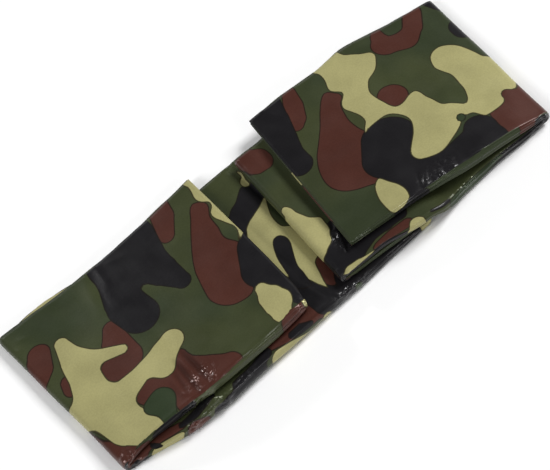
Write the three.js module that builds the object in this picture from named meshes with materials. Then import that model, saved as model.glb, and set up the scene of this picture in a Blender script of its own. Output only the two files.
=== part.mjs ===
// Emergency sleeping bag of printed plastic film, folded for packing and half fanned out.
// The bag is first folded lengthwise into a long strip. Across the strip its leaves make a
// flat U: an upper leaf, a soft roll along the near side and a lower leaf, open at the far
// side. The strip then runs back and forth in five panels joined by four turned folds, so
// two small blocks lie side by side with a low stretch between them.
// Millimetres, +Z up, lying on z = 0. +X runs along the strip, +Y to its open far side.

import * as THREE from "three";

// Driving dimensions
const LEAF = 1.3; // thickness of one leaf, several plies of film lying together
const SECTION_STEP = 11; // longest distance between two sections of a panel
const LEAF_STEPS = 4; // straight steps across a leaf
const ROLL_STEPS = 8; // steps round the near roll
const TURN_STEPS = 8; // steps round a turned fold
const FILM_GREEN = 0x3d4630;

// Each row is one section across the strip, in the order in which the strip runs.
// farX, farY and nearX, nearY place its two long sides in plan, the near one where the roll
// begins. Under is the height of its underside and thick its thickness at each side.
const COLUMNS = [
  "farX", "farY", "nearX", "nearY", "farUnder", "nearUnder", "farThick", "nearThick",
];

// side is +1 where the bag's outer print faces up and -1 where it faces down.
const PANELS = [
  {
    // Left flap, from its free end to the left turn
    side: 1,
    rows: [
      [143.0, 61.3, 137.5, -59.0, 4.0, 10.8, 3.1, 8.2],
      [128.0, 60.4, 126.0, -59.6, 4.0, 11.0, 3.2, 10.4],
      [96.0, 58.2, 96.0, -60.2, 3.9, 11.3, 3.3, 10.6],
      [64.0, 57.3, 64.0, -59.6, 3.8, 11.0, 3.3, 9.8],
      [40.0, 57.9, 40.0, -57.6, 3.8, 9.2, 3.2, 8.0],
      [20.0, 59.6, 21.0, -55.8, 3.7, 7.0, 3.1, 6.0],
      [-1.8, 60.6, 5.4, -56.8, 3.6, 4.9, 3.1, 4.2],
    ],
  },
  {
    // Left base, from the left turn to the hidden turn
    side: -1,
    rows: [
      [-1.8, 60.6, 5.4, -56.8, 0.0, 0.0, 3.1, 4.4],
      [22.0, 62.4, 22.0, -60.4, 0.0, 0.0, 3.1, 6.6],
      [44.0, 60.4, 46.0, -64.6, 0.0, 0.0, 3.2, 9.4],
      [56.0, 58.6, 59.0, -63.6, 0.0, 0.0, 3.3, 10.4],
      [72.0, 56.8, 71.0, -65.2, 0.0, 0.0, 3.3, 10.6],
      [106.0, 54.4, 106.0, -63.6, 0.0, 0.0, 3.3, 10.8],
      [132.0, 52.8, 132.0, -63.0, 0.0, 0.0, 3.3, 10.4],
      [150.0, 52.4, 151.0, -63.8, 0.0, 0.0, 3.2, 8.8],
      [172.0, 52.4, 172.0, -65.2, 0.0, 0.0, 3.1, 6.6],
      [196.0, 52.0, 196.0, -64.4, 0.0, 0.0, 3.1, 5.8],
      [220.0, 51.6, 220.0, -64.4, 0.0, 0.0, 3.1, 4.8],
    ],
  },
  {
    // Tuck, from the hidden turn back to the raised turn
    side: 1,
    rows: [
      [220.0, 51.6, 220.0, -64.4, 3.6, 5.3, 3.1, 4.0],
      [196.0, 51.0, 194.0, -62.8, 3.6, 6.3, 3.1, 3.6],
      [174.5, 50.0, 166.0, -61.4, 3.6, 7.6, 3.1, 3.6],
    ],
  },
  {
    // Right base, from the raised turn to the right turn
    side: -1,
    rows: [
      [174.5, 50.0, 166.0, -61.4, 8.2, 12.0, 3.1, 3.8],
      [196.0, 50.4, 192.0, -62.0, 7.3, 10.9, 3.1, 4.4],
      [224.0, 50.6, 225.0, -63.4, 7.4, 10.0, 3.1, 4.6],
      [234.0, 51.0, 236.0, -65.4, 4.2, 5.4, 3.1, 6.6],
      [244.0, 50.8, 246.0, -64.6, 0.4, 0.6, 3.1, 7.8],
      [254.0, 50.6, 256.0, -63.6, 0.0, 0.0, 3.2, 8.0],
      [280.0, 50.2, 278.0, -63.2, 0.0, 0.0, 3.2, 7.8],
      [304.0, 49.8, 299.0, -64.2, 0.0, 0.0, 3.1, 6.2],
      [330.6, 49.6, 318.0, -65.0, 0.0, 1.6, 3.1, 4.2],
    ],
  },
  {
    // Right panel, from the right turn to its free end
    side: 1,
    rows: [
      [330.6, 49.6, 318.0, -65.0, 3.6, 6.3, 3.1, 4.2],
      [301.0, 55.4, 297.0, -62.6, 4.6, 8.6, 3.1, 7.4],
      [267.0, 61.2, 262.0, -58.8, 7.0, 11.0, 3.2, 9.2],
      [249.0, 59.2, 244.0, -56.6, 8.8, 13.2, 3.2, 8.4],
      [220.0, 60.6, 214.0, -53.6, 10.8, 15.4, 3.1, 6.8],
      [195.0, 61.2, 180.5, -50.4, 11.0, 15.4, 3.1, 4.8],
    ],
  },
];

const UP = new THREE.Vector3(0, 0, 1);

// A smooth curve through values given at rising distances, which never overshoots them.
function monotoneCurve(distances, values) {
  const spans = distances.slice(1).map((d, i) => d - distances[i]);
  const slopes = spans.map((span, i) => (values[i + 1] - values[i]) / span);
  const tangents = values.map((_, i) => {
    if (i === 0) return slopes[0];
    if (i === slopes.length) return slopes[i - 1];
    const product = slopes[i - 1] * slopes[i];
    return product > 0 ? (2 * product) / (slopes[i - 1] + slopes[i]) : 0;
  });
  return (distance) => {
    const later = distances.findIndex((d, i) => i > 0 && distance <= d);
    const i = (later < 0 ? distances.length - 1 : later) - 1;
    const t = (distance - distances[i]) / spans[i];
    const rise = t * t * (3 - 2 * t);
    const leave = t * (1 - t) * (1 - t) * spans[i] * tangents[i];
    const arrive = t * t * (t - 1) * spans[i] * tangents[i + 1];
    return values[i] * (1 - rise) + values[i + 1] * rise + leave + arrive;
  };
}

// A section is its two long sides at mid thickness, the way its outer print faces, and the
// thickness at each side.
function sectionFrom(row, side) {
  return {
    far: new THREE.Vector3(row.farX, row.farY, row.farUnder + row.farThick / 2),
    near: new THREE.Vector3(row.nearX, row.nearY, row.nearUnder + row.nearThick / 2),
    facing: UP.clone().multiplyScalar(side),
    farThick: row.farThick,
    nearThick: row.nearThick,
  };
}

function panelSections({ rows, side }) {
  const named = rows.map((row) =>
    Object.fromEntries(COLUMNS.map((column, i) => [column, row[i]]))
  );
  const distances = [0];
  const marks = [0];
  for (let i = 1; i < named.length; i++) {
    const [a, b] = [named[i - 1], named[i]];
    const run = Math.abs(b.farX - a.farX + b.nearX - a.nearX) / 2;
    const start = distances[i - 1];
    const steps = Math.ceil(run / SECTION_STEP);
    distances.push(start + run);
    for (let k = 1; k <= steps; k++) marks.push(start + (run * k) / steps);
  }
  const curves = COLUMNS.map((column) =>
    monotoneCurve(distances, named.map((row) => row[column]))
  );
  return marks.map((mark) =>
    sectionFrom(Object.fromEntries(COLUMNS.map((column, i) => [column, curves[i](mark)])), side)
  );
}

// The sections of a half turn about a fold line, from the end of one panel to the start of
// the next, which lies above or below it. outward is the level direction of the bulge.
function turnSections(from, to, outward) {
  const rising = to.far.z > from.far.z ? 1 : -1;
  const lean = outward.clone().multiplyScalar(-rising * from.facing.z);
  const pointAt = (a, b, angle) =>
    a.clone().lerp(b, (1 - Math.cos(angle)) / 2)
      .addScaledVector(outward, (Math.abs(b.z - a.z) / 2) * Math.sin(angle));
  const sections = [];
  for (let k = 1; k < TURN_STEPS; k++) {
    const angle = (Math.PI * k) / TURN_STEPS;
    const share = k / TURN_STEPS;
    sections.push({
      far: pointAt(from.far, to.far, angle),
      near: pointAt(from.near, to.near, angle),
      facing: from.facing.clone().multiplyScalar(Math.cos(angle))
        .addScaledVector(lean, Math.sin(angle)),
      farThick: THREE.MathUtils.lerp(from.farThick, to.farThick, share),
      nearThick: THREE.MathUtils.lerp(from.nearThick, to.nearThick, share),
    });
  }
  return sections;
}

// The level direction square to a panel's last fold line, away from the panel.
function outwardOf(sections) {
  const last = sections[sections.length - 1];
  const before = sections[sections.length - 2];
  const along = last.near.clone().sub(last.far).setZ(0);
  const square = new THREE.Vector3(-along.y, along.x, 0).normalize();
  return last.far.clone().sub(before.far).dot(square) > 0 ? square : square.negate();
}

function stripSections() {
  const panels = PANELS.map(panelSections);
  const strip = [...panels[0]];
  for (let i = 1; i < panels.length; i++) {
    const ended = panels[i - 1];
    strip.push(...turnSections(ended[ended.length - 1], panels[i][0], outwardOf(ended)));
    strip.push(...panels[i]);
  }
  return strip;
}

// The closed outline of the U in a section: the outer skin from the far side of one leaf
// round the near roll to the far side of the other, then the inner skin back.
function outlineOf({ far, near, facing, farThick, nearThick }) {
  const across = near.clone().sub(far);
  const nearward = across.clone().normalize();
  const outer = [];
  const inner = [];
  const leafPoint = (share, side) => {
    const middle = far.clone().addScaledVector(across, share);
    const half = THREE.MathUtils.lerp(farThick, nearThick, share) / 2;
    outer.push(middle.clone().addScaledVector(facing, side * half));
    inner.push(middle.addScaledVector(facing, side * (half - LEAF)));
  };
  const rollPoint = (radius, angle) =>
    near.clone().addScaledVector(nearward, radius * Math.cos(angle))
      .addScaledVector(facing, radius * Math.sin(angle));
  for (let i = 0; i <= LEAF_STEPS; i++) leafPoint(i / LEAF_STEPS, 1);
  for (let i = 1; i < ROLL_STEPS; i++) {
    const angle = Math.PI / 2 - (Math.PI * i) / ROLL_STEPS;
    outer.push(rollPoint(nearThick / 2, angle));
    inner.push(rollPoint(nearThick / 2 - LEAF, angle));
  }
  for (let i = LEAF_STEPS; i >= 0; i--) leafPoint(i / LEAF_STEPS, -1);
  return [...outer, ...inner.reverse()];
}

// A closed skin over the outlines, with the two free ends of the U capped.
function sweptSolid(outlines) {
  const count = outlines[0].length;
  const positions = outlines.flat().flatMap((point) => point.toArray());
  const triangles = [];
  const quad = (a, b, c, d) => triangles.push(a, b, c, a, c, d);
  for (let s = 0; s + 1 < outlines.length; s++) {
    const here = s * count;
    for (let i = 0; i < count; i++) {
      const j = (i + 1) % count;
      quad(here + i, here + count + i, here + count + j, here + j);
    }
  }
  const last = (outlines.length - 1) * count;
  for (let i = 0; i + 1 < count / 2; i++) {
    const facingSide = count - 1 - i;
    quad(i, i + 1, facingSide - 1, facingSide);
    quad(last + i, last + facingSide, last + facingSide - 1, last + i + 1);
  }
  const geometry = new THREE.BufferGeometry();
  geometry.setAttribute("position", new THREE.Float32BufferAttribute(positions, 3));
  geometry.setIndex(triangles);
  return geometry;
}

// The middle of the underside's box becomes the origin.
function standOnOrigin(geometry) {
  geometry.computeBoundingBox();
  const { min, max } = geometry.boundingBox;
  geometry.translate(-(min.x + max.x) / 2, -(min.y + max.y) / 2, -min.z);
  geometry.computeVertexNormals();
  return geometry;
}

const film = new THREE.MeshStandardMaterial({
  color: FILM_GREEN,
  roughness: 0.3,
  metalness: 0,
});
const bag = new THREE.Mesh(standOnOrigin(sweptSolid(stripSections().map(outlineOf))), film);
bag.name = "folded_bag";

const group = new THREE.Group();
group.add(bag);

export default group;
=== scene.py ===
"""An emergency sleeping bag of printed plastic film, folded small and half fanned out.

The bag is folded lengthwise into a strip, open along its far side and rolled over along its
near side. The strip then runs back and forth in five panels joined by four turned folds.
Sizes are in millimetres unless a name says otherwise. s is measured along the strip from the
flap's free end, and t round the strip from the far side of the outer leaf.
"""

import logging
import math
from dataclasses import dataclass, field
from enum import Enum

import bpy
import numpy as np
from mathutils import Matrix, Vector

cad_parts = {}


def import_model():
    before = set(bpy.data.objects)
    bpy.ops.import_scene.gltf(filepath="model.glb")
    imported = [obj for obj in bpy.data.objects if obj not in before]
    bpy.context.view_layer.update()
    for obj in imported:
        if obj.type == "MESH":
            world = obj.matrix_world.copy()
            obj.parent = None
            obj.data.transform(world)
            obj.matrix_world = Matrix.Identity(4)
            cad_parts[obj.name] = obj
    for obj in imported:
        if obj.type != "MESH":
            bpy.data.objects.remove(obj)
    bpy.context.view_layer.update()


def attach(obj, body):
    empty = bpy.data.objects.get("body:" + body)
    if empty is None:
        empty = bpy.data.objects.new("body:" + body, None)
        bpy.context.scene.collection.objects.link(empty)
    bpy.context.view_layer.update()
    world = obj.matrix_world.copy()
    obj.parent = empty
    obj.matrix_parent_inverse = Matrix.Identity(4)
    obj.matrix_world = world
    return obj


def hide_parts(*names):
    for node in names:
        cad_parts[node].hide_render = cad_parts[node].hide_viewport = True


LOG = logging.getLogger("sleeping_bag")
MM = 0.001

Pair = tuple[float, float]
Triple = tuple[float, float, float]

TINY = 1e-9
WHITE = (1.0, 1.0, 1.0, 1.0)

# The film's bands round the strip, in t: the outer leaf, the near roll and the other leaf.
LEAF = 118.0
ROLL = 16.0
ROLL_END = LEAF + ROLL
WIDTH = ROLL_END + LEAF

# The film's own number attributes, beside one for each ink.
CRUSH = "crush"
# Painted shade: how much the colour is darkened in narrow troughs, standing in for their shade.
PAINTED_CREASE_SHADE = "furrow"


def ease(value: np.ndarray) -> np.ndarray:
    """A smooth step from 0 to 1 while the value goes from 0 to 1."""
    held = np.clip(value, 0.0, 1.0)
    return held * held * (3 - 2 * held)


def spread(start: float, end: float, step: float) -> np.ndarray:
    """Even places from start up to but not including end, about a step apart."""
    return np.linspace(start, end, max(1, round((end - start) / step)), endpoint=False)


def within(values: np.ndarray, spans: tuple[Pair, ...]) -> np.ndarray:
    """Whether each value lies inside one of the spans."""
    return np.any([(values > low) & (values < high) for low, high in spans], axis=0)


def read_off(rows: tuple[Pair, ...], marks: np.ndarray) -> np.ndarray:
    """The values at the marks, read from rows that each give a place and its value."""
    places, values = np.array(rows).T
    return np.interp(marks, places, values)


def cells(lines: np.ndarray, places: np.ndarray) -> tuple[np.ndarray, np.ndarray]:
    """Where places lie between rising lines.

    Args:
        lines: The lines' places.
        places: The places looked for.

    Returns:
        The number of the line before each place, and the place's share of the way to the next.
    """
    before = np.clip(np.searchsorted(lines, places, side="right") - 1, 0, len(lines) - 2)
    return before, ((places - lines[before]) / (lines[before + 1] - lines[before]))[:, None]


def beside_line(
    along: np.ndarray, across: np.ndarray, start: Pair, end: Pair
) -> tuple[np.ndarray, np.ndarray]:
    """How places of the film lie beside a straight line on it.

    Args:
        along: The places' s.
        across: The places' t.
        start: The line's start in s and t.
        end: Its end.

    Returns:
        The share of the line at which each place is nearest, and how far away it is.
    """
    first = np.array(start)
    line = np.array(end) - first
    share = ((along - first[0]) * line[0] + (across - first[1]) * line[1]) / max(line @ line, TINY)
    held = np.clip(share, 0.0, 1.0)
    away = np.hypot(along - first[0] - held * line[0], across - first[1] - held * line[1])
    return held, away


def curve_through(places: np.ndarray, values: np.ndarray, marks: np.ndarray) -> np.ndarray:
    """A smooth curve through values at rising places, which never overshoots them.

    Args:
        places: Where the values are given.
        values: The values there.
        marks: Where the curve is wanted.

    Returns:
        The curve's value at each mark.
    """
    spans = np.diff(places)
    slopes = np.diff(values) / spans
    products = slopes[:-1] * slopes[1:]
    sums = np.where(products > 0, slopes[:-1] + slopes[1:], 1.0)
    inner = np.where(products > 0, 2 * products / sums, 0.0)
    tangents = np.concatenate([slopes[:1], inner, slopes[-1:]])
    left = np.clip(np.searchsorted(places, marks, side="left") - 1, 0, len(spans) - 1)
    part = (marks - places[left]) / spans[left]
    rise = part * part * (3 - 2 * part)
    leave = part * (1 - part) ** 2 * spans[left] * tangents[left]
    arrive = part * part * (part - 1) * spans[left] * tangents[left + 1]
    return values[left] * (1 - rise) + values[left + 1] * rise + leave + arrive


@dataclass(frozen=True)
class SectionRow:
    """A section across the strip: its long sides in plan, their undersides and thicknesses."""

    far_x: float
    far_y: float
    near_x: float
    near_y: float
    far_under: float
    near_under: float
    far_thick: float
    near_thick: float

    def values(self) -> list[float]:
        """The row's numbers in the order of its fields."""
        return list(vars(self).values())


@dataclass(frozen=True)
class StripPanel:
    """A stretch of the strip between two turned folds. side is 1 where its outer leaf is up."""

    side: int
    rows: tuple[SectionRow, ...]


STRIP_PANELS = (
    StripPanel(1, (  # the left flap
        SectionRow(143.0, 61.3, 137.5, -59.0, 4.0, 10.8, 3.1, 8.2),
        SectionRow(128.0, 60.4, 126.0, -59.6, 4.0, 11.0, 3.2, 10.4),
        SectionRow(96.0, 58.2, 96.0, -60.2, 3.9, 11.3, 3.3, 10.6),
        SectionRow(64.0, 57.3, 64.0, -59.6, 3.8, 11.0, 3.3, 9.8),
        SectionRow(40.0, 57.9, 40.0, -57.6, 3.8, 9.2, 3.2, 8.0),
        SectionRow(20.0, 59.6, 21.0, -55.8, 3.7, 7.0, 3.1, 6.0),
        SectionRow(-1.8, 60.6, 5.4, -56.8, 3.6, 4.9, 3.1, 4.2),
    )),
    StripPanel(-1, (  # the left base
        SectionRow(-1.8, 60.6, 5.4, -56.8, 0.0, 0.0, 3.1, 4.4),
        SectionRow(22.0, 62.4, 22.0, -60.4, 0.0, 0.0, 3.1, 6.6),
        SectionRow(44.0, 60.4, 46.0, -64.6, 0.0, 0.0, 3.2, 9.4),
        SectionRow(56.0, 58.6, 59.0, -63.6, 0.0, 0.0, 3.3, 10.4),
        SectionRow(72.0, 56.8, 71.0, -65.2, 0.0, 0.0, 3.3, 10.6),
        SectionRow(106.0, 54.4, 106.0, -63.6, 0.0, 0.0, 3.3, 10.8),
        SectionRow(132.0, 52.8, 132.0, -63.0, 0.0, 0.0, 3.3, 10.4),
        SectionRow(150.0, 52.4, 151.0, -63.8, 0.0, 0.0, 3.2, 8.8),
        SectionRow(172.0, 52.4, 172.0, -65.2, 0.0, 0.0, 3.1, 6.6),
        SectionRow(196.0, 52.0, 196.0, -64.4, 0.0, 0.0, 3.1, 5.8),
        SectionRow(220.0, 51.6, 220.0, -64.4, 0.0, 0.0, 3.1, 4.8),
    )),
    StripPanel(1, (  # the tuck
        SectionRow(220.0, 51.6, 220.0, -64.4, 3.6, 5.3, 3.1, 4.0),
        SectionRow(196.0, 51.0, 194.0, -62.8, 3.6, 6.3, 3.1, 3.6),
        SectionRow(174.5, 50.0, 166.0, -61.4, 3.6, 7.6, 3.1, 3.6),
    )),
    StripPanel(-1, (  # the right base
        SectionRow(174.5, 50.0, 166.0, -61.4, 8.2, 12.0, 3.1, 3.8),
        SectionRow(196.0, 50.4, 192.0, -62.0, 7.3, 10.9, 3.1, 4.4),
        SectionRow(224.0, 50.6, 225.0, -63.4, 7.4, 10.0, 3.1, 4.6),
        SectionRow(234.0, 51.0, 236.0, -65.4, 4.2, 5.4, 3.1, 6.6),
        SectionRow(244.0, 50.8, 246.0, -64.6, 0.4, 0.6, 3.1, 7.8),
        SectionRow(254.0, 50.6, 256.0, -63.6, 0.0, 0.0, 3.2, 8.0),
        SectionRow(280.0, 50.2, 278.0, -63.2, 0.0, 0.0, 3.2, 7.8),
        SectionRow(304.0, 49.8, 299.0, -64.2, 0.0, 0.0, 3.1, 6.2),
        SectionRow(330.6, 49.6, 318.0, -65.0, 0.0, 1.6, 3.1, 4.2),
    )),
    StripPanel(1, (  # the right panel
        SectionRow(330.6, 49.6, 318.0, -65.0, 3.6, 6.3, 3.1, 4.2),
        SectionRow(301.0, 55.4, 297.0, -62.6, 4.6, 8.6, 3.1, 7.4),
        SectionRow(267.0, 61.2, 262.0, -58.8, 7.0, 11.0, 3.2, 9.2),
        SectionRow(249.0, 59.2, 244.0, -56.6, 8.8, 13.2, 3.2, 8.4),
        SectionRow(220.0, 60.6, 214.0, -53.6, 10.8, 15.4, 3.1, 6.8),
        SectionRow(195.0, 61.2, 180.5, -50.4, 11.0, 15.4, 3.1, 4.8),
    )),
)


@dataclass
class Sections:
    """Sections across the strip in order, one line of each array for each of them."""

    far: np.ndarray
    near: np.ndarray
    facing: np.ndarray
    far_thick: np.ndarray
    near_thick: np.ndarray
    along: np.ndarray

    def joined(self, other: "Sections") -> "Sections":
        """These sections followed by the others."""
        pairs = zip(vars(self).values(), vars(other).values())
        return Sections(*(np.concatenate(pair) for pair in pairs))


@dataclass(frozen=True)
class StripCourse:
    """The way of the strip through its panels and turned folds, in the solid's own sizes."""

    step: float
    turn_steps: int
    middle_x: float = 164.393
    middle_y: float = -4.049

    def panel_sections(self, panel: StripPanel) -> Sections:
        """The sections of a panel.

        Args:
            panel: The panel.

        Returns:
            Its sections, a step apart, with s counted from the panel's start.
        """
        table = np.array([row.values() for row in panel.rows])
        moves = np.abs(np.diff(table[:, 0]) + np.diff(table[:, 2])) / 2
        places = np.concatenate([[0.0], np.cumsum(moves)])
        marks = np.linspace(0.0, places[-1], math.ceil(places[-1] / self.step) + 1)
        columns = [curve_through(places, column, marks) for column in table.T]
        row = SectionRow(*columns)
        far_z = row.far_under + row.far_thick / 2
        near_z = row.near_under + row.near_thick / 2
        shift = [self.middle_x, self.middle_y, 0.0]
        return Sections(
            far=np.stack([row.far_x, row.far_y, far_z], axis=1) - shift,
            near=np.stack([row.near_x, row.near_y, near_z], axis=1) - shift,
            facing=np.tile([0.0, 0.0, float(panel.side)], (len(marks), 1)),
            far_thick=row.far_thick,
            near_thick=row.near_thick,
            along=marks,
        )

    def turn_sections(self, before: Sections, after: Sections) -> Sections:
        """The sections of the half turn that joins two panels.

        Args:
            before: The sections of the panel that ends there.
            after: The sections of the panel that begins there, above or below it.

        Returns:
            The turn's own sections, without those of the panels.
        """
        line = before.near[-1] - before.far[-1]
        square = np.array([-line[1], line[0], 0.0]) / math.hypot(line[0], line[1])
        heading = before.far[-1] - before.far[-2]
        outward = square if heading @ square > 0 else -square
        rising = 1.0 if after.far[0, 2] > before.far[-1, 2] else -1.0
        lean = -rising * before.facing[-1, 2] * outward
        share = np.arange(1, self.turn_steps)[:, None] / self.turn_steps
        angle = np.pi * share

        def bent(start: np.ndarray, end: np.ndarray) -> np.ndarray:
            """Points round a half circle.

            Args:
                start: The half circle's first end.
                end: Its other end, straight above or below.

            Returns:
                The points between those ends.
            """
            radius = abs(end[2] - start[2]) / 2
            level = start + (end - start) * (1 - np.cos(angle)) / 2
            return level + outward * radius * np.sin(angle)

        def stepped(start: float, end: float) -> np.ndarray:
            """A value at each step of the turn on its way from start to end."""
            return (start + (end - start) * share)[:, 0]

        far_rise = abs(after.far[0, 2] - before.far[-1, 2])
        near_rise = abs(after.near[0, 2] - before.near[-1, 2])
        rise = (far_rise + near_rise) / 2
        return Sections(
            far=bent(before.far[-1], after.far[0]),
            near=bent(before.near[-1], after.near[0]),
            facing=before.facing[-1] * np.cos(angle) + lean * np.sin(angle),
            far_thick=stepped(before.far_thick[-1], after.far_thick[0]),
            near_thick=stepped(before.near_thick[-1], after.near_thick[0]),
            along=before.along[-1] + share[:, 0] * np.pi * rise / 2,
        )

    def sections(self) -> Sections:
        """All sections of the strip, from the flap's free end to the other free end.

        Returns:
            The sections in order, with s from the flap's free end.
        """
        strip = self.panel_sections(STRIP_PANELS[0])
        last = strip
        for panel in STRIP_PANELS[1:]:
            following = self.panel_sections(panel)
            turn = self.turn_sections(last, following)
            arc = (turn.along[-1] - last.along[-1]) / (1 - 1 / self.turn_steps)
            following.along = following.along + last.along[-1] + arc
            strip = strip.joined(turn).joined(following)
            last = following
        return strip


@dataclass(frozen=True)
class RollRow:
    """The near roll's form at a place along the strip, as shares of the strip's thickness.

    bulge is how far it stands out, square is 2 for a round roll and more for a flat face, and
    groove is how deep the film is drawn in at groove_at, which is 1 by the outer leaf and -1
    by the other one.
    """

    along: float
    bulge: float
    square: float
    groove: float
    groove_at: float


ROLL_ROWS = (
    RollRow(0.0, 0.36, 3.0, 0.10, -0.10),
    RollRow(20.0, 0.40, 2.8, 0.06, 0.00),
    RollRow(60.0, 0.46, 2.5, 0.04, 0.10),
    RollRow(100.0, 0.44, 2.6, 0.06, 0.00),
    RollRow(138.0, 0.42, 2.4, 0.10, 0.00),
    RollRow(150.0, 0.42, 2.4, 0.10, 0.00),
    RollRow(185.0, 0.48, 2.2, 0.08, -0.25),
    RollRow(240.0, 0.50, 2.1, 0.05, -0.35),
    RollRow(290.0, 0.50, 2.1, 0.06, -0.30),
    RollRow(340.0, 0.46, 2.3, 0.08, -0.20),
    RollRow(395.0, 0.42, 2.4, 0.10, 0.00),
    RollRow(430.0, 0.46, 2.4, 0.08, -0.20),
    RollRow(500.0, 0.48, 2.3, 0.12, -0.20),
    RollRow(560.0, 0.46, 2.3, 0.12, -0.20),
    RollRow(590.0, 0.42, 2.5, 0.12, 0.00),
    RollRow(650.0, 0.46, 2.7, 0.12, -0.10),
    RollRow(700.0, 0.44, 2.8, 0.14, -0.10),
    RollRow(724.0, 0.40, 3.0, 0.12, -0.10),
)


class CreaseForm(Enum):
    """How a crease bends the film: a soft trough, a soft ridge, or a pinched fold."""

    TROUGH = "trough"
    RIDGE = "ridge"
    PINCH = "pinch"


@dataclass(frozen=True)
class Crease:
    """A crease from one place of the film to another, in s and t, with its height and reach.

    end_strength is what is left of it at its two ends, and fade is how fast it gains from there
    towards its middle. It is lengthwise if it runs that many times further in s than in t.
    """

    form: CreaseForm
    start: Pair
    end: Pair
    height: float
    reach: float
    end_strength: float = 0.5
    fade: float = 1.5
    lengthwise_slope: float = 4.0

    @property
    def lengthwise(self) -> bool:
        """Whether the crease runs with the strip rather than across it."""
        run, drop = (abs(last - first) for first, last in zip(self.start, self.end))
        return run > self.lengthwise_slope * drop

    def nearness(self, along: np.ndarray, across: np.ndarray) -> np.ndarray:
        """How near the crease each place of the film lies.

        Args:
            along: The film's s.
            across: The film's t.

        Returns:
            1 on the crease's line, less towards its ends, and falling to 0 away from it.
        """
        held, away = beside_line(along, across, self.start, self.end)
        inward = 0.5 - np.abs(held - 0.5)
        strength = ease(self.end_strength + self.fade * inward)
        power = 1 if self.form is CreaseForm.PINCH else 2
        return np.exp(-((away / self.reach) ** power)) * strength

    def lift(self, along: np.ndarray, across: np.ndarray) -> np.ndarray:
        """How far the crease moves the film outward at each place."""
        sign = -1.0 if self.form is CreaseForm.TROUGH else 1.0
        return sign * self.height * self.nearness(along, across)


@dataclass(frozen=True)
class Crumple:
    """A patch where the film is crushed into small flat facets.

    facet is the size of a facet, and seed starts the draws of how its folds turn and stretch.
    onset is how fast the crushing sets in from the patch's rim.
    """

    middle: Pair
    reach: Pair
    height: float
    facet: float
    seed: int
    folds: int = 4
    onset: float = 1.6
    turns: Pair = (0.1, 0.9)
    stretches: Pair = (0.75, 1.7)

    def strength(self, along: np.ndarray, across: np.ndarray) -> np.ndarray:
        """How crushed the film is, from 0 outside the patch to 1 in its middle.

        Args:
            along: The film's s.
            across: The film's t.

        Returns:
            How crushed the film is at each place.
        """
        by_s = (along - self.middle[0]) / self.reach[0]
        by_t = (across - self.middle[1]) / self.reach[1]
        return ease((1.0 - np.hypot(by_s, by_t)) * self.onset)

    def lift(self, along: np.ndarray, across: np.ndarray) -> np.ndarray:
        """How far the crushed film stands out or in: the mean of zigzags that cross one another.

        Args:
            along: The film's s.
            across: The film's t.

        Returns:
            The move at each place.
        """
        draw = np.random.default_rng(self.seed)
        total = np.zeros_like(along)
        for fold in range(self.folds):
            turn = (fold + draw.uniform(*self.turns)) * np.pi / self.folds
            start, stretch = draw.uniform(0, 1), draw.uniform(*self.stretches)
            run = (along * math.cos(turn) + across * math.sin(turn)) / (self.facet * stretch)
            total += np.abs((run + start) % 1.0 - 0.5) * 4 - 1
        return self.height * total / self.folds * self.strength(along, across)


@dataclass(frozen=True)
class Nudge:
    """A soft push of a stretch of the film, round a middle in s and t, by a move in x, y and z."""

    middle: Pair
    reach: Pair
    move: Triple

    def push(self, along: np.ndarray, across: np.ndarray) -> np.ndarray:
        """The move of each section and line of the film.

        Args:
            along: The s of each section.
            across: The t of each line.

        Returns:
            The move for each section, line and coordinate.
        """
        by_s = ease(1 - np.abs(along - self.middle[0]) / self.reach[0])
        by_t = ease(1 - np.abs(across - self.middle[1]) / self.reach[1])
        return (by_s[:, None] * by_t[None, :])[..., None] * np.array(self.move)


NUDGES = (
    Nudge((144, 124), (16, 18), (-0.5, -1.3, 0.0)),
    Nudge((202, 126), (18, 20), (0.0, -1.2, 0.0)),
    Nudge((267, 126), (36, 20), (0.0, -1.3, 0.0)),
    Nudge((364, 126), (34, 44), (3.6, -0.4, 0.0)),
    Nudge((478, 126), (28, 32), (0.0, -4.2, 0.0)),
)

# How far the free edges are drawn in at a place along the strip, and how far the flap's end
# stands out at a place round it.
FAR_PULL_ROWS = (
    (0.0, -0.7), (14.0, 0.2), (100.0, 0.0), (125.0, -0.3), (145.0, -0.6), (160.0, -1.1),
    (185.0, -0.9), (215.0, 0.0), (270.0, -0.4), (300.0, -1.2), (330.0, -0.8), (365.0, 0.0),
    (400.0, 0.6), (420.0, 2.2), (450.0, 2.4), (468.0, 0.4), (600.0, 0.0), (655.0, -0.7),
    (724.0, 0.0),
)
FLAP_END_ROWS = (
    (0.0, 1.4), (30.0, 2.0), (80.0, 2.6), (108.0, 2.4), (117.0, 0.8), (126.0, 0.3), (136.0, 0.3),
    (160.0, 1.0), (220.0, 0.9), (252.0, 0.3),
)

# The length, shift by layer and start of each small wave along the free edges.
EDGE_WAVES = ((9.7, 5.0, 0.0), (4.3, 9.0, 1.7))
# The length along s, length along t and start of each faint ripple all over the film.
RIPPLES = ((7.1, 31.0, 0.0), (-23.0, 8.9, 1.3), (14.9, 12.7, 2.1))

# The stretches that show when the bag lies on the floor: of the outer leaf and of the other
# leaf, in s, and round the near roll, in t.
SEEN_OUTER_LEAF = ((-1.0, 150.0), (578.0, 730.0))
SEEN_OTHER_LEAF = ((278.0, 326.0), (410.0, 452.0))
SEEN_ROUND_ROLL = ((LEAF - 16.0, ROLL_END + 20.0),)


@dataclass(frozen=True)
class Layer:
    """A film's layer in the fold: how deep inside it lies, and how far its edges are set back."""

    depth: float = 0.0
    edge_trim: float = 0.0
    end_trim: float = 0.0


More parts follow.
